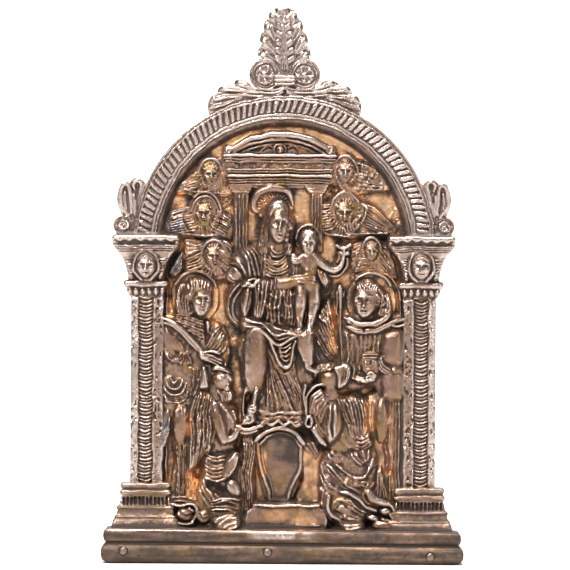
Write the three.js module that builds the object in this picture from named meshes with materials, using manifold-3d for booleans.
// An upright cast bronze plaque: an architectural frame (plinth, two pilasters, round arch, palmette
// crest) around a relief of a seated mother and child under a throne, cherub heads, two standing and
// two kneeling figures, with three rivets in the plinth's front.
// Millimetres. X runs to the viewer's right and Z up, the front faces -Y, and the origin is under the
// middle of the plinth. A "height" is measured forwards from the flat back.

import * as THREE from 'three';
import { ConvexGeometry } from 'three/addons/geometries/ConvexGeometry.js';
import { mergeVertices } from 'three/addons/utils/BufferGeometryUtils.js';
import Module from 'manifold-3d';

// Driving sizes
const HEIGHT = 170;
const DEPTH = 16.4;
const BACK = DEPTH / 2;
const GROUND = 2.4;
const PLINTH = { half: 53.8, height: 14.4, top: 10.7, swell: 1.35, fall: 0.08 };
const BASE = { x: 41.9, half: 7.1, height: 6.6, flutes: 8, sunk: { '-1': 0.7, 1: 1.9 } };
const SHAFT = { inner: 35.9, outer: 46.6, low: 18, high: 84, height: 6.2 };
const CHANNEL = { inner: 39.9, outer: 44.3, low: 24.8, high: 80.6, floor: 4.1, scales: 36 };
const CAPITAL = { x: 42.1, half: 6.2, height: 6.9, scallops: 6 };
const ARCH = { z: 96.6, outer: 46.3, inner: 36.6, leaves: 34 };
const PALMETTE = { foot: 151, rows: 5, lean: 0.04 };
const VOLUTE = { x: 6.1, z: 149.3, radius: 4.75 };
const SIDE_SCROLL = { x: 49.2, z: 102.9, radius: 3.05 };
const RELIEF = { half: 37.1, foot: 9, triangles: 3350 };
const HOLLOW = { depth: 1.3, rim: 3.5, foot: 14 };
const RIVET = { radius: 1.25, shank: 0.8, length: 4, dome: 0.7, gap: 0.3 };
const RIVETS = { left: [-48.2, 3.9], middle: [-4.4, 3.7], right: [45, 2.6] };
const BRONZE = { color: 0x8a6f5c, roughness: 0.38, metalness: 0.9 };

const wasm = await Module();
wasm.setup();

// Solids from three.js geometry
function signedVolume(xyz, tris) {
  let sum = 0;
  const corner = (i) => new THREE.Vector3(xyz[3 * i], xyz[3 * i + 1], xyz[3 * i + 2]);
  for (let t = 0; t < tris.length; t += 3) {
    sum += corner(tris[t]).dot(corner(tris[t + 1]).cross(corner(tris[t + 2])));
  }
  return sum / 6;
}

function solid(geometry) {
  const bare = new THREE.BufferGeometry();
  bare.setAttribute('position', geometry.getAttribute('position').clone());
  if (geometry.index) bare.setIndex(geometry.index.clone());
  const merged = mergeVertices(bare, 1e-4);
  const index = merged.index.array;
  const tris = [];
  for (let t = 0; t < index.length; t += 3) {
    const [a, b, c] = [index[t], index[t + 1], index[t + 2]];
    if (a !== b && b !== c && c !== a) tris.push(a, b, c);
  }
  const xyz = Float32Array.from(merged.getAttribute('position').array);
  if (signedVolume(xyz, tris) < 0) {
    for (let t = 0; t < tris.length; t += 3) [tris[t], tris[t + 1]] = [tris[t + 1], tris[t]];
  }
  return new wasm.Manifold(new wasm.Mesh({
    numProp: 3, vertProperties: xyz, triVerts: Uint32Array.from(tris),
  }));
}

const join = (solids) => solids.reduce((all, one) => all.add(one));
const mirrored = (make) => [make(-1), make(1)];

function fromTriangles(points, tris) {
  const geometry = new THREE.BufferGeometry();
  geometry.setAttribute('position', new THREE.Float32BufferAttribute(points.flat(), 3));
  geometry.setIndex(tris);
  return solid(geometry);
}

// A flat outline in X and Z, standing from one height to another
function prism(outline, low, high, curveSegments = 20) {
  const shape = outline instanceof THREE.Shape
    ? outline : new THREE.Shape(outline.map(([x, z]) => new THREE.Vector2(x, z)));
  const geometry = new THREE.ExtrudeGeometry(shape, {
    depth: high - low, bevelEnabled: false, curveSegments,
  });
  return solid(geometry.rotateX(Math.PI / 2).translate(0, BACK - low, 0));
}

const block = (x0, x1, z0, z1, low, high) => prism([[x0, z0], [x1, z0], [x1, z1], [x0, z1]], low, high);

// A body through rings of [x, z, height] points, all with as many points, closed at both ends
function lofted(rings) {
  const size = rings[0].length;
  const tris = [];
  const last = (rings.length - 1) * size;
  for (let k = 0; k < last; k += size) {
    for (let i = 0; i < size; i++) {
      const j = (i + 1) % size;
      tris.push(k + i, k + size + i, k + j, k + j, k + size + i, k + size + j);
    }
  }
  for (let i = 1; i < size - 1; i++) tris.push(0, i, i + 1, last, last + i + 1, last + i);
  return fromTriangles(rings.flat().map(([x, z, height]) => [x, BACK - height, z]), tris);
}

// A moulded block: [z, out] levels, where out is how far it stands past its sides and its front, and
// fall is by what share its levels drop towards its right end
function moulded(x0, x1, height, levels, fall = 0) {
  return lofted(levels.map(([z, out]) => {
    const right = z * (1 - fall);
    return [[x0 - out, z, 0], [x1 + out, right, 0], [x1 + out, right, height + out], [x0 - out, z, height + out]];
  }));
}

// A half-round between two levels, as [z, out] pairs
function round(low, high, out, inset = 0, sides = 5) {
  return Array.from({ length: sides + 1 }, (_, i) => {
    const turn = Math.PI * i / sides;
    return [(low + high) / 2 - (high - low) / 2 * Math.cos(turn), inset + out * Math.sin(turn)];
  });
}

// A body turned about an axis that runs front to back through (x, z): [radius, height] profile
function turned(profile, x, z, segments) {
  const points = profile.map(([radius, height]) => new THREE.Vector2(radius, BACK - height));
  return solid(new THREE.LatheGeometry(points, segments).translate(x, 0, z));
}

function lobe(x, z, height, across, along, thick, lean = 0) {
  const geometry = new THREE.SphereGeometry(1, 6, 4);
  geometry.rotateX(Math.PI / 2).scale(across, thick, along).rotateY(lean);
  return solid(geometry.translate(x, BACK - height, z));
}

const hull = (points) => solid(new ConvexGeometry(
  points.map(([x, z, height]) => new THREE.Vector3(x, BACK - height, z))));

// A blunt leaf from its foot at (x, z), ridged along its middle
function leaf(x, z, lean, half, length, edge, ridge) {
  const [c, s] = [Math.cos(lean), Math.sin(lean)];
  const at = (across, along, height) => [x + across * c + along * s, z - across * s + along * c, height];
  const outline = [[0, 0], [-half, length * 0.6], [-half * 0.5, length * 0.96], [half * 0.5, length * 0.96],
    [half, length * 0.6]];
  return hull([
    ...outline.map(([across, along]) => at(across, along, 0)),
    ...outline.map(([across, along]) => at(across, along, edge)),
    at(0, length * 0.72, ridge),
  ]);
}

// Plinth, pilasters and arch
function plinth() {
  return moulded(-PLINTH.half, PLINTH.half, PLINTH.height, [
    [0, -1.2], [0.5, 0.2], ...round(0.7, 5.9, PLINTH.swell, 0.05, 7),
    [6, -0.3], [6.5, -0.4], ...round(6.6, PLINTH.top, 0.9, -0.3), [PLINTH.top, -1.3],
  ], PLINTH.fall);
}

function pilasterBase(side) {
  const [x0, x1] = [side * BASE.x - BASE.half, side * BASE.x + BASE.half];
  const sunk = BASE.sunk[side];
  const base = moulded(x0, x1, BASE.height, [
    [9, 3.6], [11.4, 3.6], [13.9, 2.5], [14.2, 2.1], [17, 1.4], [17.4, 0.9], [20.4, 0.3],
    ...round(20.6, 22.5, 0.65, 0, 4), ...round(22.6, 24.4, 0.45, -0.2, 3), [24.8, -0.4],
  ].map(([z, out]) => [z - sunk, out]));
  const flutes = Array.from({ length: BASE.flutes }, (_, i) => {
    const x = x0 + 0.8 + (x1 - x0 - 1.6) * (i + 0.5) / BASE.flutes;
    return block(x - 0.45, x + 0.45, 17.9 - sunk, 20.1 - sunk, BASE.height - 0.3, BASE.height + 2);
  });
  return base.subtract(join(flutes));
}

// The stack of overlapping coin-like scales in a pilaster's channel, each with its low edge proud
function scaleStack(x0, x1, low) {
  const pitch = (CHANNEL.high - low) / CHANNEL.scales;
  const buried = CHANNEL.floor - 0.5;
  const ring = (z, sides, middle) => [
    [x0, z, buried], [x1, z, buried], [x1, z, sides], [(x0 + x1) / 2, z - pitch * 0.6, middle], [x0, z, sides]];
  const rings = [];
  for (let i = 0; i < CHANNEL.scales; i++) {
    const z = low + pitch * (i + 0.6);
    rings.push(ring(z, CHANNEL.floor + 0.1, CHANNEL.floor + 0.4));
    rings.push(ring(z + pitch * 0.35, SHAFT.height - 0.9, SHAFT.height));
  }
  rings.push(ring(CHANNEL.high + 0.5, CHANNEL.floor + 0.1, CHANNEL.floor + 0.4));
  return lofted(rings);
}

function pilaster(side) {
  const [inner, outer] = [side * SHAFT.inner, side * SHAFT.outer].sort((a, b) => a - b);
  const [left, right] = [side * CHANNEL.inner, side * CHANNEL.outer].sort((a, b) => a - b);
  const low = CHANNEL.low - BASE.sunk[side];
  const shaft = block(inner, outer, SHAFT.low, SHAFT.high, 0, SHAFT.height)
    .subtract(block(left, right, low, CHANNEL.high, CHANNEL.floor, SHAFT.height + 1));
  return shaft.add(scaleStack(left + 0.15, right - 0.15, low));
}

function capital(side) {
  const x = side * CAPITAL.x;
  const body = moulded(x - CAPITAL.half, x + CAPITAL.half, CAPITAL.height, [
    [80.4, -1.8], [81.2, -1.5], ...round(81.3, 83.7, 0.7, -0.9, 3), ...round(84, 86, 0.65, 0, 3),
    [86.2, -0.7], [88.5, -0.5], [91.5, 0.3], [93.4, 1.2], [94.9, 2.2], [95.3, 1.9], [95.9, 2.9], [96.2, 2.6],
    [97, 3.9], [99.3, 4.1], [100, 3.4],
  ]).subtract(block(x - CAPITAL.half - 3.2, x + CAPITAL.half + 3.2, 97.1, 98.5, 9.6, 12));
  const face = join([lobe(x, 90.6, 7.6, 3, 4.3, 2.2), hull([
    [x, 92.2, 8.8], [x - 0.7, 89.4, 8.6], [x + 0.7, 89.4, 8.6], [x, 91.8, 9.5], [x, 89.5, 10.6]])]);
  const scallops = Array.from({ length: CAPITAL.scallops }, (_, i) => {
    const middle = x + (i - (CAPITAL.scallops - 1) / 2) * 3.1;
    return hull([-1.3, 1.3].flatMap((out) => [[middle + out, 98.8, 9.4], [middle + out * 0.4, 97.7, 9.4],
      [middle + out, 98.9, 10.8], [middle + out * 0.4, 98, 10.7]]));
  });
  return join([body, face, ...scallops]);
}

// A half ring of mouldings, its feet behind the capitals, whose leaf band rises and falls from leaf to leaf
function arch() {
  const rings = [];
  for (let i = 0; i <= 2 * ARCH.leaves; i++) {
    const turn = Math.PI * i / (2 * ARCH.leaves);
    const [foot, tip] = i % 2 ? [5.9, 6.6] : [4.6, 4.9];
    const section = [[ARCH.inner, 0], [ARCH.inner, 2.2], [38.6, 4.4], [39.6, 6.1], [41, foot],
      [44.3, tip], [45, 6.4], [45.7, 6.8], [ARCH.outer, 5.4], [ARCH.outer, 0]];
    rings.push(section.map(([radius, height]) => [
      radius * Math.cos(turn), ARCH.z + radius * Math.sin(turn), height]));
  }
  return lofted(rings);
}

// Crest and side scrolls
function scroll(x, z, radius, height) {
  return turned([
    [0, 0], [0, height + 0.4], [radius * 0.3, height - 0.1], [radius * 0.5, height - 1.6],
    [radius * 0.75, height], [radius, height - 0.8], [radius, 0], [0, 0],
  ], x, z, 12);
}

function leafRow(x, z, lean, count, length) {
  return Array.from({ length: count }, (_, i) => {
    const off = i - (count - 1) / 2;
    return leaf(x, z, lean + off * 0.4, length * 0.17, length * (1 - 0.06 * Math.abs(off)), 2.6, 4.3);
  });
}

function palmette() {
  const { foot, rows, lean } = PALMETTE;
  const length = HEIGHT - foot;
  const lobes = [];
  for (let i = 0; i < rows; i++) {
    const t = i / (rows - 1);
    const z = foot + 0.4 + (length - 6) * t;
    for (const side of [-1, 1]) {
      lobes.push(leaf(side * 0.6 - lean * (z - foot), z, side * (1 - 0.45 * t) - lean, 1.9, 8.6 - 3.4 * t * t, 3.2,
        4.8 - 0.5 * t));
    }
  }
  const edge = [[5.4, foot], [7.4, 153], [8.1, 155], [8, 156.9], [7.1, 158.3], [7.5, 160], [6.9, 161.9],
    [5.9, 162.7], [6.1, 164.4], [5.5, 166], [4.5, 166.7], [4.3, 168.1], [3.3, 169.3], [1.9, 169.9]];
  const plate = prism([...edge, ...edge.map(([x, z]) => [-x, z]).reverse()].map(
    ([x, z]) => [x - lean * (z - foot), z]), 0, 3.2);
  return join([plate, ...lobes, leaf(0, foot, -lean, 1.1, length / 0.93, 2.6, 4.8)]);
}

function crest() {
  const parts = [palmette(), block(-3, 3, 146.4, 152, 0, 3.9), block(-9, 9, 141, 147.5, 0, 2.6)];
  for (const side of [-1, 1]) {
    parts.push(scroll(side * VOLUTE.x, VOLUTE.z, VOLUTE.radius, 4.9));
    parts.push(...leafRow(side * 8.6, 142.6, side * 1.1, 3, 8.4));
    parts.push(...leafRow(side * 16.4, 139.4, side * 1.05, 3, 7.6));
    parts.push(prism([[side * 5, 141], [side * 20, 137], [side * 19.5, 142.5], [side * 13, 145.4],
      [side * 6, 146.6]], 0, 2.4));
  }
  return join(parts);
}

function sideScroll(side) {
  const outline = [[40, 99], [48, 99.5], [49.6, 105.6], [50.7, 108.4], [51.2, 111], [50.8, 113.4], [50, 115.6],
    [48.6, 116.6], [47.4, 115.9], [46.6, 117], [45, 117.6], [43.4, 116.8], [42.4, 115.6], [40, 112]];
  const ribs = [[47.2, 106, 0.28, 10.6], [46.9, 106, 0.05, 9.8], [46, 106.4, -0.12, 10.6]];
  return join([
    scroll(side * SIDE_SCROLL.x, SIDE_SCROLL.z, SIDE_SCROLL.radius, 4.6),
    ...ribs.map(([x, z, lean, length]) => leaf(side * x, z, side * lean, 0.9, length, 4, 5.6)),
    prism(outline.map(([x, z]) => [side * x, z]), 0, 3.9),
  ]);
}

// Relief: a grid of heights that layers of rounded forms are laid on
const AREA = { x0: -37.2, x1: 37.2, z0: 8.6, z1: 133.6 };
const PITCH = 0.5;
const COLUMNS = Math.round((AREA.x1 - AREA.x0) / PITCH) + 1;
const ROWS = Math.round((AREA.z1 - AREA.z0) / PITCH) + 1;
const BURIED = -1;
const relief = new Float32Array(COLUMNS * ROWS).fill(GROUND);

// A smooth curve through the points, any number of values to a point
function smooth(points, closed = false, steps = 5) {
  const count = points.length;
  const at = (i) => points[closed ? (i + count) % count : Math.min(Math.max(i, 0), count - 1)];
  const curve = [];
  for (let s = 0; s < (closed ? count : count - 1); s++) {
    for (let k = 0; k < steps; k++) {
      const t = k / steps;
      curve.push(at(s).map((b, axis) => {
        const [a, c, d] = [at(s - 1)[axis], at(s + 1)[axis], at(s + 2)[axis]];
        return 0.5 * (2 * b + (c - a) * t + (2 * a - 5 * b + 4 * c - d) * t * t
          + (3 * b - a - 3 * c + d) * t * t * t);
      }));
    }
  }
  if (!closed) curve.push(points[count - 1]);
  return curve;
}

// Nearest place on a segment: how far off it is, and how far along
function nearest(x, z, from, to) {
  const [dx, dz] = [to[0] - from[0], to[1] - from[1]];
  const along = ((x - from[0]) * dx + (z - from[1]) * dz) / (dx * dx + dz * dz || 1);
  const t = Math.min(Math.max(along, 0), 1);
  return [Math.hypot(x - from[0] - t * dx, z - from[1] - t * dz), t];
}

function inside(x, z, outline) {
  let within = false;
  for (let i = 0, j = outline.length - 1; i < outline.length; j = i++) {
    const [[xi, zi], [xj, zj]] = [outline[i], outline[j]];
    if ((zi > z) !== (zj > z) && x < (xj - xi) * (z - zi) / (zj - zi) + xi) within = !within;
  }
  return within;
}

class Layer {
  constructor() {
    this.heights = new Float32Array(COLUMNS * ROWS).fill(BURIED);
  }

  // Visits the grid around some points
  around(points, reach, visit) {
    const span = (axis, low, count) => {
      const values = points.map((point) => point[axis]);
      return [Math.max(0, Math.floor((Math.min(...values) - reach - low) / PITCH)),
        Math.min(count - 1, Math.ceil((Math.max(...values) + reach - low) / PITCH))];
    };
    const [i0, i1] = span(0, AREA.x0, COLUMNS);
    const [j0, j1] = span(1, AREA.z0, ROWS);
    for (let j = j0; j <= j1; j++) {
      for (let i = i0; i <= i1; i++) visit(AREA.x0 + i * PITCH, AREA.z0 + j * PITCH, j * COLUMNS + i);
    }
    return this;
  }

  raise(cell, height) {
    if (height > this.heights[cell]) this.heights[cell] = height;
  }

  // A rounded bar through [x, z, top, radius] points
  limb(points, plumpness = 0.8) {
    const curve = smooth(points);
    for (let s = 1; s < curve.length; s++) {
      const [a, b] = [curve[s - 1], curve[s]];
      this.around([a, b], Math.max(a[3], b[3]), (x, z, cell) => {
        const [off, t] = nearest(x, z, a, b);
        const radius = a[3] + (b[3] - a[3]) * t;
        if (off >= radius) return;
        const fall = 1 - Math.sqrt(1 - (off / radius) ** 2);
        this.raise(cell, a[2] + (b[2] - a[2]) * t - plumpness * radius * fall);
      });
    }
    return this;
  }

  // A pillow over a closed outline: flat inside, rolled down by drop within roll of its edge
  mass(outline, top, roll = 2, drop = 2, tilt = [0, 0]) {
    const edge = smooth(outline, true, 4);
    const middle = [0, 1].map((axis) => edge.reduce((sum, p) => sum + p[axis], 0) / edge.length);
    return this.around(edge, 0, (x, z, cell) => {
      if (!inside(x, z, edge)) return;
      let off = roll;
      for (let i = 0; i < edge.length; i++) {
        off = Math.min(off, nearest(x, z, edge[i], edge[(i + 1) % edge.length])[0]);
      }
      const fall = 1 - Math.sqrt(1 - (1 - off / roll) ** 2);
      this.raise(cell, top + tilt[0] * (x - middle[0]) + tilt[1] * (z - middle[1]) - drop * fall);
    });
  }

  ball(x, z, top, across, along, lean = 0, thick = Math.min(across, along)) {
    const [c, s] = [Math.cos(lean), Math.sin(lean)];
    return this.around([[x, z]], Math.max(across, along), (px, pz, cell) => {
      const [u, v] = [((px - x) * c - (pz - z) * s) / across, ((px - x) * s + (pz - z) * c) / along];
      const off = u * u + v * v;
      if (off < 1) this.raise(cell, top - thick * (1 - Math.sqrt(1 - off)));
    });
  }

  slab(x0, x1, z0, z1, top) {
    return this.around([[x0, z0], [x1, z1]], 0, (x, z, cell) => this.raise(cell, top));
  }

  // Ridges spread between two guide lines, raised on what the layer already holds
  folds(first, last, count, rise, width = 0.75) {
    const [from, to] = [smooth(first), smooth(last)];
    const lift = new Map();
    for (let n = 0; n < count; n++) {
      const mix = count > 1 ? n / (count - 1) : 0.5;
      const line = from.map(([x, z], i) => [x + (to[i][0] - x) * mix, z + (to[i][1] - z) * mix]);
      for (let s = 1; s < line.length; s++) {
        this.around([line[s - 1], line[s]], width, (x, z, cell) => {
          if (this.heights[cell] <= BURIED) return;
          const off = nearest(x, z, line[s - 1], line[s])[0];
          if (off < width) lift.set(cell, Math.max(lift.get(cell) || 0, rise * (1 - (off / width) ** 2)));
        });
      }
    }
    for (const [cell, amount] of lift) this.heights[cell] += amount;
    return this;
  }

  // Lays the layer on the relief: the higher surface shows
  lay() {
    this.heights.forEach((height, cell) => {
      if (height > relief[cell]) relief[cell] = height;
    });
  }
}

const layer = () => new Layer();

// A plain head: an oval with brow, nose, cheeks and chin, turned to one side by turn
function head(x, z, top, across, along, turn = 0, lean = 0) {
  const [c, s] = [Math.cos(lean), Math.sin(lean)];
  const at = (u, v) => {
    const [du, dv] = [(u + turn * 0.3) * across, v * along];
    return [x + du * c + dv * s, z - du * s + dv * c];
  };
  const size = across / 3;
  const shape = layer().ball(x, z, top, across, along, lean, across * 0.95);
  shape.limb([[...at(0, 0.1), top - 0.1, 0.5 * size], [...at(0, -0.2), top + 0.7 * size, 0.6 * size]], 1);
  shape.limb([[...at(-0.5, 0.14), top - 0.4, 0.4 * size], [...at(0, 0.22), top + 0.1, 0.4 * size],
    [...at(0.5, 0.14), top - 0.4, 0.4 * size]], 1);
  shape.ball(...at(0, -0.72), top - 0.25 * size, 0.9 * size, 0.7 * size);
  shape.limb([[...at(-0.22, -0.45), top - 0.1, 0.3 * size], [...at(0.22, -0.45), top - 0.1, 0.3 * size]], 1);
  return shape;
}

function throne() {
  const shape = layer().slab(-15.1, -11.3, 96, 114, 4.2).slab(8.3, 11.7, 96, 114, 4.2);
  for (const x of [-14.4, -12.1, 9, 11]) shape.limb([[x, 96, 4.9, 0.55], [x, 113.5, 4.9, 0.55]]);
  for (const x of [-13.3, 10.5]) shape.slab(x - 2.9, x + 2.9, 113.4, 115.4, 5);
  const bands = [[115.4, 118.2, -17, 14, 5.2], [118.4, 119.9, -17.6, 14.6, 5.6],
    [119.9, 122.4, -18, 15.2, 4.8], [122.7, 124.5, -18.6, 15.6, 5.6]];
  for (const [low, high, x0, x1, top] of bands) shape.slab(x0, x1, low, high, top);
  shape.limb([[-18.5, 125.4, 5, 1], [-9.5, 130.2, 5.4, 1], [-1.2, 131.8, 5.6, 1], [7, 130.3, 5.4, 1],
    [14.8, 125.6, 5, 1]]);
  shape.mass([[-15, 125], [-1, 130.6], [12, 125]], 3.8, 1, 1);
  shape.ball(-17.4, 125.8, 5.8, 1.8, 1.8).ball(14.2, 125.8, 5.8, 1.8, 1.8).ball(-1.2, 126.6, 5.4, 1.5, 1.8);
  shape.lay();
}

// A winged head: hood arc, face and two wings given by their outlines
function cherub(x, z, across, along, wings) {
  for (const [outline, first, last, count] of wings) {
    layer().mass(outline, 3.7, 1.2, 0.8).folds(first, last, count, 0.5, 0.6).lay();
  }
  const hood = [];
  for (let i = 0; i <= 6; i++) {
    const turn = Math.PI * (0.02 + 0.96 * i / 6);
    hood.push([x + Math.cos(turn) * across * 1.62, z + 0.3 + Math.sin(turn) * along * 1.25, 4.4, 0.5]);
  }
  layer().ball(x, z + 0.4, 4, across * 1.5, along * 1.2, 0, 0.8).limb(hood).lay();
  head(x, z, 5.9, across, along, 0.2).lay();
}

function cherubs() {
  cherub(-22.3, 119.2, 2.7, 3.4, [
    [[[-26, 121], [-28, 121.5], [-33.5, 113], [-29, 112.6], [-23, 113.5]],
      [[-26.5, 119.5], [-32, 117]], [[-25, 114.5], [-33, 113.4]], 4],
    [[[-19.5, 119.5], [-16, 113], [-22, 112.6], [-22, 115]], [[-19, 118.5], [-16.8, 113.6]],
      [[-20.5, 116], [-20.3, 113]], 3],
  ]);
  cherub(-24.3, 107, 3.3, 4.1, [
    [[[-28.4, 109], [-34.6, 107.3], [-36.2, 100.2], [-30, 100.4], [-25, 101.5]],
      [[-29, 108], [-35.6, 105.4]], [[-27, 102.5], [-35.6, 100.6]], 6],
    [[[-20.5, 109.8], [-18, 107.4], [-15.3, 103], [-16, 99.8], [-22, 100.8]],
      [[-20.4, 108.4], [-16.2, 104.6]], [[-22.5, 102.6], [-18.8, 100]], 5],
  ]);
  cherub(-21.4, 93.7, 3.1, 3.8, [
    [[[-25, 97], [-31, 95], [-35, 89], [-33.6, 86.4], [-29.5, 88.6], [-24, 89.4]],
      [[-27, 96], [-33.5, 92]], [[-26.5, 90.4], [-33.6, 87.2]], 5],
    [[[-18, 97.5], [-15.4, 93.5], [-17.2, 87.4], [-21, 88.4]], [[-17.6, 96.5], [-16, 92.6]],
      [[-19.6, 90], [-18.2, 87.8]], 3],
  ]);
  cherub(18.8, 119.9, 2.9, 3.4, [
    [[[21.5, 122], [27, 121], [32.5, 115], [27, 113.8], [20.5, 114.6]],
      [[22, 120.6], [28, 118.6]], [[23, 115], [31.6, 114.8]], 5],
    [[[16, 118.6], [15.6, 114], [22.5, 112.6], [19.5, 116]], [[16.4, 117.4], [18.4, 114.6]],
      [[18.2, 116.4], [20.8, 113.8]], 2],
  ]);
  cherub(18.8, 107, 3.3, 4.3, [
    [[[22, 110], [28.5, 107.2], [34.6, 101.5], [26, 100.9], [19.6, 100.6]],
      [[24, 108.6], [33.4, 102.2]], [[21.2, 102.6], [25.5, 101.2]], 7],
    [[[14.6, 110], [11.8, 108.8], [11.4, 101.4], [15.4, 99.8], [18, 101.8]],
      [[14.2, 109.6], [11.8, 109.2]], [[15.6, 102.4], [12, 101.8]], 6],
  ]);
  cherub(27, 95.2, 2.4, 3.1, [
    [[[30, 97.6], [33.6, 92], [34.6, 86.6], [29.6, 88.6], [27, 91]],
      [[30.4, 96.6], [34, 89.6]], [[28, 91.6], [31, 88.2]], 4],
    [[[23.4, 97.8], [20.6, 96.4], [21, 90.4], [27, 89.2], [26.6, 92]],
      [[23, 97], [21.2, 95.4]], [[26, 91], [22.4, 90.2]], 4],
  ]);
}

function seatedMother() {
  // Halo, veil and head
  layer().ball(-3.4, 109.8, 4.6, 5.8, 5.4, 0, 1).limb([[-7.3, 106.6, 4.4, 0.8], [-9.4, 108.8, 4.8, 0.9],
    [-8.2, 112.6, 5.4, 0.9], [-3.6, 114.9, 6, 0.9], [0.8, 113.7, 6, 0.9], [2.4, 111, 5.4, 0.7]]).lay();
  layer().mass([[-5, 110.6], [-1.5, 111.4], [1.8, 109], [2.9, 104], [3, 99], [1.6, 95.4], [-3, 94.6],
    [-8.6, 95.4], [-7, 100], [-6.4, 106]], 6.8, 2.4, 2.4)
    .folds([[-5.4, 109], [-6, 102], [-7.8, 96]], [[-4.2, 101], [-4.8, 98], [-6, 95.4]], 2, 0.5).lay();
  head(-1.7, 103.6, 9.3, 3.3, 6.4, 0.35, 0.08).lay();
  // Body, cloak and sleeves
  layer().mass([[-8, 95.6], [-4, 95.2], [0, 95], [2.6, 93], [3.4, 88], [3, 84], [-7, 84], [-8.6, 88]],
    6.4, 3, 2).limb([[-2.2, 98, 6.6, 2.3], [-2.2, 93.6, 6.4, 2.6]])
    .folds([[-4.8, 94], [-2.2, 92.3], [0.4, 93.4]], [[-5.6, 89.4], [-3, 88.2], [0.6, 89.4]], 4, 0.6).lay();
  layer().mass([[-13.5, 96.2], [-10.2, 96.8], [-8, 95], [-6.4, 91], [-5.6, 87], [-8.5, 85.4],
    [-13, 85.2], [-16.9, 85.4], [-17.7, 89], [-16.6, 93]], 7.8, 3, 3.6)
    .folds([[-13, 94.6], [-11, 92], [-10.2, 88]], [[-9.6, 96], [-7.8, 92], [-6.8, 88]], 4, 0.8).lay();
  layer().ball(-14.4, 87.7, 8.5, 2.5, 2.1).mass([[-16.6, 85.5], [-12, 85.5], [-12, 80], [-13.2, 74.5],
    [-16.5, 72.3], [-17.9, 76], [-17.6, 81]], 5.8, 2, 2.4)
    .folds([[-13.4, 84.4], [-15, 80], [-15.4, 76]], [[-16.6, 83], [-17, 78.6], [-16.4, 74.6]], 2, 0.6).lay();
  layer().mass([[-13.2, 85.4], [-9.5, 86.4], [-5.2, 86], [-5, 82], [-5.8, 77], [-7.5, 73.8],
    [-11.6, 74], [-13.2, 78]], 8.3, 2, 3)
    .folds([[-9.8, 84.8], [-9.6, 80], [-9.8, 76]], [[-5.8, 85], [-6, 80], [-6.8, 75.6]], 3, 0.7).lay();
  layer().limb([[-8, 85.5, 7.8, 1.5], [-2, 86, 8.4, 1.7], [3, 86.7, 8.9, 1.6], [7.4, 87, 8.9, 1.1]]).lay();
  // Cloth under the child, lap and knees
  layer().mass([[-4.8, 84], [3, 84.4], [3.2, 78], [2.8, 72.6], [-4.4, 72.8], [-5.2, 78]], 6.8, 1.5, 1.6)
    .folds([[-4, 82], [-4, 74.6]], [[2.2, 82], [2, 73.6]], 4, 0.6, 0.8).lay();
  layer().mass([[-13.2, 76.2], [-6, 76.2], [0, 75], [5, 73.2], [9.6, 73], [10.4, 69.4], [5, 67.4],
    [0, 67.6], [-4, 68.4], [-8, 70], [-12.4, 71.2]], 8.6, 2.4, 2.6)
    .folds([[-11.4, 74.4], [-5, 72.6], [-2, 69.9], [4, 69.8]], [[-10, 71], [-6, 70], [-1.4, 67.2],
      [3.4, 68.9]], 3, 0.7, 0.8).lay();
  layer().mass([[-11.6, 70], [9.6, 70], [10.2, 60], [8.5, 52], [7, 44], [5.5, 41.2], [0, 42.6],
    [-7.4, 41.2], [-7.4, 50], [-12, 57]], 6.2, 2, 2.2)
    .folds([[-5.2, 61], [-2, 53], [-1, 45]], [[5, 58], [6.4, 51], [5.8, 44]], 5, 0.8, 0.9).lay();
  layer().limb([[-8.1, 68.4, 10.4, 3.5], [-8.4, 63, 9.8, 3.4], [-8.6, 57.6, 9, 3.2]]).lay();
  layer().limb([[6.7, 67.6, 9.9, 2.7], [7, 64, 9.2, 2.3], [7.7, 61, 8.2, 1.5]]).lay();
  layer().limb([[6.6, 61.4, 8.4, 1], [7.6, 59.8, 8.2, 0.9], [9.6, 58.2, 7.8, 0.8]]).lay();
  for (let i = 0; i < 4; i++) {
    const [dip, narrow] = [8.2 - 2.1 * i, 0.3 * i];
    layer().limb([[-4 + narrow, 68.2, 8.6, 0.65], [-2.2 + narrow, 68 - dip * 0.55, 8, 0.65],
      [0.6, 68 - dip, 7.6, 0.7], [2.4 - narrow, 68 - dip * 0.6, 8, 0.65], [3.6 - narrow, 68.4, 8.6, 0.6]]).lay();
  }
  layer().mass([[9.6, 73.4], [11, 75.4], [14, 81], [15.9, 76], [16.8, 70], [17.4, 62], [13, 58.6],
    [9.4, 61.4], [8.8, 68]], 5.2, 1.6, 1.8)
    .folds([[9.4, 70], [11.6, 66], [14.2, 61.6]], [[13.9, 79], [15.2, 72], [16.4, 64.6]], 4, 0.8).lay();
}

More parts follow.
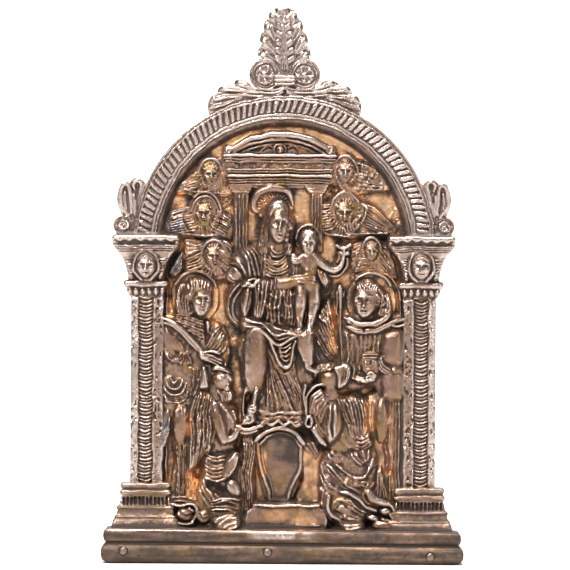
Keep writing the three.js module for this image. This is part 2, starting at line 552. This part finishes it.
function child() {
  layer().ball(7.6, 98.8, 4.6, 3.8, 4.6, 0, 0.8).limb([[3.9, 98.8, 5, 0.6], [4.9, 101.9, 5.4, 0.6],
    [7.6, 103.3, 5.6, 0.6], [10.3, 101.9, 5.4, 0.6], [11.2, 98.8, 5, 0.6]]).lay();
  head(7.6, 97.8, 9, 2.6, 3.7, 0).lay();
  layer().mass([[5, 93.8], [8, 94.6], [10.4, 93.4], [10, 90], [9.8, 87], [10.2, 84.2], [5.6, 84],
    [6, 88], [5.2, 91]], 8.2, 1.8, 2.8)
    .limb([[6, 93, 7.8, 1.2], [4.2, 91.8, 7.8, 1.2], [3.9, 93, 8, 1.1]])
    .limb([[9, 93.2, 8, 1.3], [10.8, 91, 7.8, 1.3], [13.4, 89.5, 7.6, 1.2], [17, 90.6, 7.2, 1],
      [18.2, 93.4, 6.6, 0.9], [18.4, 95.8, 6.2, 0.9]]).lay();
  layer().limb([[5.6, 84.4, 8.6, 1.8], [5.5, 80.5, 8.8, 1.7], [5.1, 75.5, 8.8, 1.3], [4.7, 71, 8.8, 1.1]])
    .limb([[8.9, 84.4, 8.2, 1.9], [9, 80, 8.4, 1.7], [8.4, 75, 8.6, 1.3], [7.8, 71, 8.9, 1.1]]).lay();
  layer().limb([[16.8, 97.2, 5.4, 0.6], [18.4, 96, 5.8, 0.7], [19.9, 97.1, 5.4, 0.6]])
    .limb([[17, 94.7, 5.2, 0.6], [18.4, 96, 5.8, 0.7], [19.8, 94.9, 5.2, 0.6]]).lay();
}

function halo(x, z, across, along, from, to, top) {
  const points = [];
  for (let i = 0; i <= 6; i++) {
    const turn = THREE.MathUtils.degToRad(from + (to - from) * i / 6);
    points.push([x + across * Math.cos(turn), z + along * Math.sin(turn), top, 0.7]);
  }
  layer().ball(x, z, top - 0.6, across, along, 0, 0.8).limb(points).lay();
}

function leftStandingFigure() {
  halo(-26, 82.6, 6.4, 6.6, 20, 160, 4.6);
  layer().mass([[-36, 74.6], [-31, 76.2], [-24, 75.4], [-19.5, 73.6], [-17.4, 69], [-17.2, 60],
    [-21, 50], [-27, 46], [-36.4, 46], [-36.4, 60]], 5, 2.5, 1.8)
    .folds([[-34, 74.6], [-28, 73.6], [-24.2, 72.2]], [[-30.5, 71], [-27.5, 69.6], [-25, 68.4]], 4, 0.5, 0.6)
    .folds([[-19.4, 72], [-21.4, 69], [-23.4, 65.6]], [[-17.8, 69], [-18, 65], [-18.6, 61]], 4, 0.6, 0.8)
    .folds([[-36, 70], [-33.6, 65], [-31, 60.6]], [[-29.4, 67], [-28.4, 64], [-27.6, 61]], 4, 0.6, 0.8).lay();
  layer().ball(-27.4, 82.6, 6.4, 4.6, 5.6).mass([[-31, 84], [-32.8, 79], [-31.6, 75.6], [-28, 76],
    [-27, 84]], 5.6, 1.2, 1.4).folds([[-31.4, 84], [-32, 77]], [[-28.6, 83], [-28.8, 76.6]], 3, 0.4).lay();
  head(-25.2, 80.2, 7.9, 3.2, 5.2, 0.3).lay();
  layer().limb([[-35.6, 74.3, 6.4, 0.9], [-32.5, 72.3, 6.6, 0.9], [-28.8, 69.1, 6.6, 0.9],
    [-25, 64.8, 6.8, 0.9]]).lay();
  layer().ball(-24.2, 63, 7.6, 1.7, 1.5).lay();
  for (let i = 0; i < 4; i++) {
    layer().limb([[-23.6, 63.8 - 0.8 * i, 7.3, 0.55], [-20.8, 63.6 - 0.9 * i, 7, 0.55],
      [-18.6, 62.6 - 0.8 * i, 6.4, 0.5]]).lay();
  }
  for (let i = 0; i < 4; i++) {
    const reach = 4.6 - 0.9 * i;
    layer().limb([[-32.6 - reach, 53.6, 5.6, 0.65], [-33.2, 52.9 - reach, 6, 0.7],
      [-30.6, 53.4 - reach * 0.7, 6, 0.65], [-32.2 + reach, 56.6, 5.4, 0.6]]).lay();
  }
  layer().mass([[-34, 48], [-27.6, 48], [-26.6, 40], [-27, 30], [-24.6, 18], [-34.4, 18.4], [-33, 30],
    [-34.6, 38]], 5, 1.8, 2)
    .folds([[-31, 36], [-32.6, 28], [-33, 20]], [[-28.6, 36], [-28.2, 28], [-26, 19]], 4, 0.7)
    .ball(-31.2, 42.6, 6.4, 2.1, 6).limb([[-35.6, 46.4, 4.2, 1], [-35.5, 41, 4.6, 1.3], [-36.4, 35.2, 4, 0.8]])
    .lay();
}

function rightStandingFigure() {
  halo(26.4, 81.6, 7, 6.9, 15, 140, 4.6);
  layer().mass([[20, 75.6], [26, 76], [33, 76], [36.4, 74], [36.4, 50], [29.6, 50], [29, 56], [21, 53],
    [18.4, 60], [17.6, 70]], 5, 2, 1.8)
    .folds([[21.4, 69.4], [21.6, 58]], [[28.2, 69.4], [28.4, 66]], 4, 0.5, 0.8).lay();
  layer().mass([[30.4, 70], [36.4, 70.6], [36.4, 50.4], [30, 50.4], [29.6, 60]], 6.6, 2, 2.4).lay();
  layer().ball(26.8, 81, 6.4, 5, 5.8).mass([[29, 84], [32.4, 81], [32, 75.4], [28.4, 75], [28, 80]], 5.6, 1, 1)
    .lay();
  head(25, 80.6, 8.2, 3.8, 5.6, -0.35).lay();
  for (let i = 0; i < 2; i++) {
    layer().limb([[19.4, 75.4 - 2.6 * i, 6, 0.9], [22.6, 73.2 - 2 * i, 6.8, 1], [27.2, 73.1 - 1.9 * i, 7, 1.1],
      [31.4, 74.6 - 2 * i, 6.6, 1], [34.6, 76 - 2 * i, 5.8, 0.9]]).lay();
  }
  layer().mass([[24, 64.2], [29, 64.2], [28.8, 57.6], [25, 57.6]], 7, 0.6, 0.8).lay();
  layer().limb([[20.8, 57.4, 6.2, 1.2], [24, 55.4, 6.8, 1.2], [27.6, 56.8, 7.2, 1]]).lay();
  layer().limb([[17.4, 84.4, 4, 0.9], [17.4, 76, 4.4, 0.9], [18, 62, 4.6, 0.6]]).lay();
  layer().mass([[26, 51], [35.8, 51], [35.6, 30], [36.4, 17], [27, 17], [28.6, 30], [26.4, 40]], 4.8, 1.8, 2)
    .folds([[33.2, 49], [33.6, 34], [34.2, 22]], [[35, 49], [35, 34], [35.4, 22]], 2, 0.6)
    .ball(30.2, 43.4, 6.2, 2.2, 6.4).lay();
}

function leftKneelingFigure() {
  // Trunk with its long hair, and the skirt
  layer().mass([[-26.4, 52], [-22, 51.6], [-18.4, 47.6], [-15.4, 41], [-14.6, 35.4], [-17, 33.4],
    [-24, 32], [-27.6, 28], [-28.4, 38], [-28.6, 46]], 7.8, 2.6, 3)
    .folds([[-26.4, 49], [-27, 40], [-26.6, 30]], [[-21, 48.6], [-20.4, 41], [-19, 35.4]], 5, 0.7).lay();
  layer().mass([[-24, 34.4], [-16, 34.6], [-13, 33], [-12.4, 24], [-12, 19], [-12.6, 11], [-21, 10],
    [-26.6, 12.6], [-27, 20], [-25, 27]], 7.6, 2.6, 2.6, [0, -0.05])
    .folds([[-24, 33], [-21, 31.6], [-17.6, 32.6]], [[-24, 28], [-20.4, 25.8], [-16.4, 27.2]], 4, 0.8, 0.8)
    .folds([[-22, 17], [-17, 18.4], [-12.8, 18]], [[-21.4, 14.6], [-17.6, 13], [-15.6, 11]], 4, 0.9, 0.9).lay();
  layer().mass([[-19.4, 31.6], [-14.4, 34], [-13.2, 30.4], [-14.6, 26.6], [-17.4, 25.4], [-20, 26.6]],
    9, 2, 1.6).ball(-14.8, 22.8, 9.6, 2.3, 3.2, 0.5).lay();
  // Head in profile, looking up
  layer().ball(-20.4, 55.8, 7.8, 5, 4.5).lay();
  layer().ball(-19.2, 55.6, 8.7, 3.4, 3.5).limb([[-16.9, 57, 8.4, 0.5], [-15.7, 55.8, 8.2, 0.7]])
    .ball(-16.8, 53.2, 8.2, 1.1, 0.9).limb([[-24.1, 59.8, 8.4, 0.7], [-24, 54.4, 8.8, 1.3]]).lay();
  layer().limb([[-21.5, 52.6, 7, 1.9], [-21.8, 50, 7.2, 2]]).lay();
  // Arms and joined hands
  layer().limb([[-20.2, 46.4, 9, 1.8], [-18.4, 41.8, 9.5, 2.1], [-16.7, 36.8, 9.2, 1.9],
    [-15.2, 38.2, 8.8, 1.5], [-13.2, 41.2, 8.6, 1.4]]).lay();
  layer().limb([[-13.6, 40.8, 8.4, 1.2], [-10, 40.6, 8.6, 1.1], [-7.2, 41.4, 8, 1]])
    .ball(-10.6, 43.4, 9.2, 1.9, 1.6).limb([[-9.6, 45, 9.2, 1.3], [-8.9, 48.4, 9, 1.2], [-8.2, 54.6, 8.6, 0.9]])
    .lay();
  // Feet
  layer().ball(-29.8, 14.9, 8.6, 2.6, 2.2).ball(-23.9, 14.1, 9.4, 2.2, 2.1).lay();
  layer().mass([[-21, 13.2], [-13.6, 13.6], [-14.6, 10.2], [-18, 9.2], [-20.4, 10.4]], 12.8, 1.6, 2.4,
    [0, -0.9]).lay();
}

function rightKneelingFigure() {
  // Trunk seen from behind, sleeve and skirt
  layer().mass([[12.4, 52], [17, 51], [22, 51.6], [25.8, 48], [26.4, 42], [27.4, 36], [21, 33.4],
    [14.6, 34], [12, 38], [11.4, 46]], 7.8, 2.6, 3)
    .folds([[17.6, 50], [19.4, 45.6], [20.6, 41]], [[23.6, 50], [24.8, 45], [25.4, 40]], 4, 0.8)
    .folds([[22, 34.6], [25, 34.8], [27, 36.4]], [[22.6, 37.6], [25, 38], [26.4, 39.4]], 3, 0.6, 0.6).lay();
  layer().mass([[12.3, 48], [14.6, 48.6], [17.8, 46.4], [18.4, 42.4], [16.6, 37.6], [14, 36.4],
    [12.2, 38], [12.6, 43]], 9.4, 2.2, 2.6)
    .folds([[14.4, 47.4], [14.8, 38]], [[17, 46.6], [16.6, 39.4]], 2, 0.5).lay();
  layer().limb([[13, 37.4, 8.2, 1], [11, 39, 8.4, 1.1], [9.2, 41, 8.2, 1]])
    .limb([[7.9, 42, 8.6, 1.4], [7.4, 46, 8.6, 1.2], [7.9, 50, 8.2, 0.9], [9.8, 52.6, 7.6, 0.8]])
    .limb([[8.6, 46, 7.4, 0.9], [12.2, 50.2, 7.6, 1]]).lay();
  layer().mass([[13, 35], [21, 35.6], [27.8, 36], [29, 31], [28.4, 24], [30, 17], [26, 13], [24.4, 10],
    [17.6, 10.4], [12, 14.6], [11.4, 22], [11.2, 30.6]], 7.6, 2.6, 2.6, [0, -0.05])
    .folds([[16, 30.4], [22.6, 26.1], [28.2, 30.6]], [[20.6, 34], [23.8, 31], [27.6, 33.6]], 2, 1, 0.9)
    .folds([[13.2, 30.6], [17.4, 26.4], [22.8, 21.8]], [[13.2, 27.8], [16.2, 24.2], [19.6, 21.4]], 2, 0.9)
    .folds([[11.8, 28], [12.4, 19], [17, 12]], [[14.4, 19], [14, 15.8], [17.8, 13]], 2, 0.8).lay();
  layer().ball(18.4, 17.2, 9.4, 3.6, 3).limb([[16, 20, 9.4, 1.1], [20.4, 19.2, 9.8, 1.2], [24.4, 17, 9.6, 1.1],
    [28.4, 15.6, 9, 1]]).lay();
  layer().limb([[25.8, 21.4, 8.4, 1.6], [28.2, 19.2, 8.8, 1.5], [31.4, 18, 8.2, 1.1]])
    .ball(27.4, 13.8, 9.6, 2.1, 1.5).ball(31.7, 15.9, 8.8, 2.3, 1.4).ball(30.6, 11.4, 9.8, 3, 1.6).lay();
  layer().mass([[18, 13], [24, 13], [24.4, 10.2], [21.6, 9], [19, 10]], 12.8, 1.6, 2.4, [0, -0.9]).lay();
  // Head turned away under its cap
  layer().ball(14.4, 56.6, 8.2, 4.2, 4.2).ball(16.6, 58.4, 8.8, 2.2, 2.6)
    .limb([[19.6, 60.6, 7.4, 1.1], [19.2, 57, 7.6, 1.2], [17.6, 53.8, 7.2, 0.9]])
    .limb([[10.2, 58.4, 7.2, 1.3], [13, 60.2, 7.6, 1.4], [15.6, 60.4, 7.6, 1.2]])
    .limb([[15, 54, 7, 2], [15.4, 51, 7.2, 2.2]]).lay();
}

function pedestal() {
  layer().mass([[-9.6, 37.6], [-5.6, 40.2], [-1.4, 41.4], [3.4, 40.2], [6.6, 37.6], [6, 28], [2.6, 18.4],
    [-4.6, 18.4], [-7.6, 28]], 4.6, 0.8, 0.8)
    .limb([[-7.9, 36, 5.4, 0.5], [-6.7, 28.6, 5.4, 0.5], [-4.3, 23.4, 5.4, 0.5], [-4, 18.6, 5.4, 0.5]])
    .limb([[5.6, 36.6, 5.4, 0.5], [5.4, 29.2, 5.4, 0.5], [4, 25.6, 5.4, 0.5], [1.7, 18.6, 5.4, 0.5]])
    .limb([[-7.6, 38.4, 6.2, 0.8], [-4, 40, 6.4, 0.8], [0, 40.6, 6.4, 0.8], [4.6, 38.6, 6.2, 0.8]]).lay();
  layer().limb([[-7.6, 42.2, 7, 0.7], [-4, 43, 7, 0.8], [-1.4, 41.8, 7, 0.8], [1.6, 42.9, 7, 0.8],
    [5.8, 41.8, 7, 0.7]]).lay();
  layer().mass([[-12.4, 36], [-9, 37], [-9, 26], [-9.6, 12], [-12.4, 12]], 6, 1.2, 1.4)
    .folds([[-12, 34], [-10.9, 24], [-11.4, 13]], [[-10, 34], [-9.8, 24], [-10.4, 13]], 2, 0.6).lay();
  layer().slab(-9.2, 11.2, 8.6, 17.2, 8.8).slab(-9.2, 11.6, 17.2, 18.5, 9.6).lay();
}

// A queue that gives back its cheapest entry first
class Queue {
  constructor() {
    this.entries = [];
  }

  push(entry) {
    const { entries } = this;
    let spot = entries.push(entry) - 1;
    while (spot > 0) {
      const parent = (spot - 1) >> 1;
      if (entries[parent].cost <= entry.cost) break;
      entries[spot] = entries[parent];
      spot = parent;
    }
    entries[spot] = entry;
  }

  pop() {
    const { entries } = this;
    const first = entries[0];
    const moved = entries.pop();
    if (!entries.length) return first;
    let spot = 0;
    for (;;) {
      let child = 2 * spot + 1;
      if (child >= entries.length) break;
      if (child + 1 < entries.length && entries[child + 1].cost < entries[child].cost) child += 1;
      if (entries[child].cost >= moved.cost) break;
      entries[spot] = entries[child];
      spot = child;
    }
    entries[spot] = moved;
    return first;
  }
}

// Thins a surface of [x, z, height] points: the edge whose loss bends it least is closed up first.
// Each point carries the squared distance to the planes it has met, as the ten sums of a quadric.
const EDGE_WEIGHT = 30;

function thinned(points, tris, target) {
  const quadrics = points.map(() => new Float64Array(10));
  const around = points.map(() => new Set());
  const stamps = new Uint32Array(points.length);
  const addPlane = (vertices, [a, b, c], d, weight) => {
    const sums = [a * a, a * b, a * c, a * d, b * b, b * c, b * d, c * c, c * d, d * d];
    for (const v of vertices) sums.forEach((value, k) => { quadrics[v][k] += weight * value; });
  };
  const edgeUses = new Map();
  tris.forEach((tri, t) => {
    const [p, q, r] = tri.map((v) => new THREE.Vector3(...points[v]));
    const normal = q.clone().sub(p).cross(r.clone().sub(p));
    const area = normal.length();
    normal.normalize();
    addPlane(tri, normal.toArray(), -normal.dot(p), area);
    tri.forEach((v, k) => {
      around[v].add(t);
      const w = tri[(k + 1) % 3];
      const key = Math.min(v, w) * points.length + Math.max(v, w);
      edgeUses.set(key, (edgeUses.get(key) || 0) + 1);
    });
  });
  const border = new Set();
  const pairs = [];
  for (const [key, uses] of edgeUses) {
    const pair = [Math.floor(key / points.length), key % points.length];
    pairs.push(pair);
    if (uses > 1) continue;
    pair.forEach((v) => border.add(v));
    const axis = points[pair[0]][0] === points[pair[1]][0] ? 0 : 1;
    addPlane(pair, [axis === 0 ? 1 : 0, axis, 0], -points[pair[0]][axis], EDGE_WEIGHT);
  }
  const bendAt = (q, [x, z, h]) => q[0] * x * x + 2 * q[1] * x * z + 2 * q[2] * x * h + 2 * q[3] * x
    + q[4] * z * z + 2 * q[5] * z * h + 2 * q[6] * z + q[7] * h * h + 2 * q[8] * h + q[9];
  const queue = new Queue();
  const offer = (v, w) => {
    const [p, q] = [points[v], points[w]];
    const places = [p, q, [(p[0] + q[0]) / 2, (p[1] + q[1]) / 2, (p[2] + q[2]) / 2]];
    const costs = places.map((place) => bendAt(quadrics[v], place) + bendAt(quadrics[w], place));
    const best = costs.indexOf(Math.min(...costs));
    queue.push({ cost: costs[best], v, w, place: places[best], marks: [stamps[v], stamps[w]] });
  };
  const neighbours = (v) => {
    const found = new Set();
    for (const t of around[v]) for (const w of tris[t]) if (w !== v) found.add(w);
    return found;
  };
  const turnedOver = (v, other, place) => [...around[v]].some((t) => {
    if (tris[t].includes(other)) return false;
    const [p, q, r] = tris[t].map((w) => (w === v ? place : points[w]));
    return (q[0] - p[0]) * (r[1] - p[1]) - (q[1] - p[1]) * (r[0] - p[0]) < 1e-3;
  });
  pairs.forEach(([v, w]) => offer(v, w));
  let count = tris.length;
  while (count > target) {
    const { v, w, place, marks } = queue.pop();
    if (marks[0] !== stamps[v] || marks[1] !== stamps[w]) continue;
    const shared = [...around[v]].filter((t) => around[w].has(t));
    if (shared.length === 0) continue;
    if (shared.length === 2 && border.has(v) && border.has(w)) continue;
    const beyond = neighbours(w);
    const common = [...neighbours(v)].filter((n) => beyond.has(n));
    if (common.length !== shared.length) continue;
    if (turnedOver(v, w, place) || turnedOver(w, v, place)) continue;
    for (const t of shared) tris[t].forEach((n) => around[n].delete(t));
    for (const t of around[w]) {
      tris[t] = tris[t].map((n) => (n === w ? v : n));
      around[v].add(t);
    }
    around[w].clear();
    points[v] = [...place];
    quadrics[v].forEach((value, k) => { quadrics[v][k] = value + quadrics[w][k]; });
    if (border.has(w)) border.add(v);
    stamps[v] += 1;
    stamps[w] += 1;
    count -= shared.length;
    neighbours(v).forEach((n) => offer(v, n));
  }
  return [...new Set(around.flatMap((set) => [...set]))].map((t) => tris[t]);
}

// The carved slab: the relief's surface in front, a flat back buried in the ground plate
function carvedSlab(buried, target) {
  const surface = [];
  const grid = [];
  for (let j = 0; j < ROWS; j++) {
    for (let i = 0; i < COLUMNS; i++) {
      surface.push([AREA.x0 + i * PITCH, AREA.z0 + j * PITCH, relief[j * COLUMNS + i]]);
      if (i === COLUMNS - 1 || j === ROWS - 1) continue;
      const corner = j * COLUMNS + i;
      const [right, up] = [corner + 1, corner + COLUMNS];
      grid.push([corner, right, up], [right, up + 1, up]);
    }
  }
  const front = thinned(surface, grid, target);
  const kept = [...new Set(front.flat())];
  const number = new Map(kept.map((v, k) => [v, k]));
  const points = [];
  for (const v of kept) points.push([surface[v][0], BACK - surface[v][2], surface[v][1]]);
  for (const v of kept) points.push([surface[v][0], BACK - buried, surface[v][1]]);
  const walls = new Map();
  const tris = [];
  for (const tri of front) {
    const [a, b, c] = tri.map((v) => number.get(v));
    const deep = kept.length;
    tris.push(a, b, c, a + deep, c + deep, b + deep);
    for (const [p, q] of [[a, b], [b, c], [c, a]]) {
      if (walls.has(`${q},${p}`)) walls.delete(`${q},${p}`);
      else walls.set(`${p},${q}`, [q, p, q + deep, p, p + deep, q + deep]);
    }
  }
  for (const wall of walls.values()) tris.push(...wall);
  return fromTriangles(points, tris);
}

function archedShape(half, foot) {
  const shape = new THREE.Shape();
  shape.moveTo(-half, foot);
  shape.lineTo(half, foot);
  shape.lineTo(half, ARCH.z);
  shape.absarc(0, ARCH.z, half, 0, Math.PI, false);
  shape.lineTo(-half, foot);
  return shape;
}

function casting() {
  [throne, cherubs, pedestal, seatedMother, child, leftStandingFigure, rightStandingFigure,
    leftKneelingFigure, rightKneelingFigure].forEach((carve) => carve());
  const field = prism(archedShape(RELIEF.half, RELIEF.foot), 0, DEPTH);
  const carved = carvedSlab(GROUND - 0.6, RELIEF.triangles).intersect(field);
  const groundPlate = prism(archedShape(RELIEF.half, 2), 0, GROUND - 0.3);
  const hollow = prism(archedShape(RELIEF.half - HOLLOW.rim, HOLLOW.foot), -1, HOLLOW.depth);
  const whole = join([
    groundPlate, plinth(), arch(), crest(), carved,
    ...mirrored(pilasterBase), ...mirrored(pilaster), ...mirrored(capital), ...mirrored(sideScroll),
  ]);
  const behindTheBack = block(-80, 80, -10, 190, -20, 0);
  const belowTheFoot = block(-80, 80, -20, 0, -20, 40);
  const aboveTheTip = block(-80, 80, HEIGHT, 190, -20, 40);
  return whole.subtract(join([hollow, behindTheBack, belowTheFoot, aboveTheTip]));
}

function rivet([x, z], extra = 0) {
  const front = DEPTH - RIVET.dome;
  const [head, shank] = [RIVET.radius + extra, RIVET.shank + extra];
  const under = front - 0.5 - extra;
  const end = under - RIVET.length - extra;
  const profile = [[0, end], [0, DEPTH + extra]];
  for (const turn of [Math.PI / 4, Math.PI / 2]) {
    profile.push([head * Math.sin(turn), front + (RIVET.dome + extra) * Math.cos(turn)]);
  }
  profile.push([head, under], [shank, under], [shank, end], [0, end]);
  return turned(profile, x, z, 12);
}

function meshOf(name, manifold) {
  const mesh = manifold.getMesh();
  const geometry = new THREE.BufferGeometry();
  const xyz = [];
  for (let v = 0; v < mesh.numVert; v++) {
    for (let axis = 0; axis < 3; axis++) xyz.push(mesh.vertProperties[v * mesh.numProp + axis]);
  }
  geometry.setAttribute('position', new THREE.Float32BufferAttribute(xyz, 3));
  geometry.setIndex(Array.from(mesh.triVerts));
  geometry.computeVertexNormals();
  const object = new THREE.Mesh(geometry, new THREE.MeshStandardMaterial(BRONZE));
  object.name = name;
  return object;
}

const plaque = new THREE.Group();
const pockets = join(Object.values(RIVETS).map((place) => rivet(place, RIVET.gap)));
plaque.add(meshOf('plaque', casting().subtract(pockets)));
for (const [side, place] of Object.entries(RIVETS)) plaque.add(meshOf(`rivet_${side}`, rivet(place)));

export default plaque;
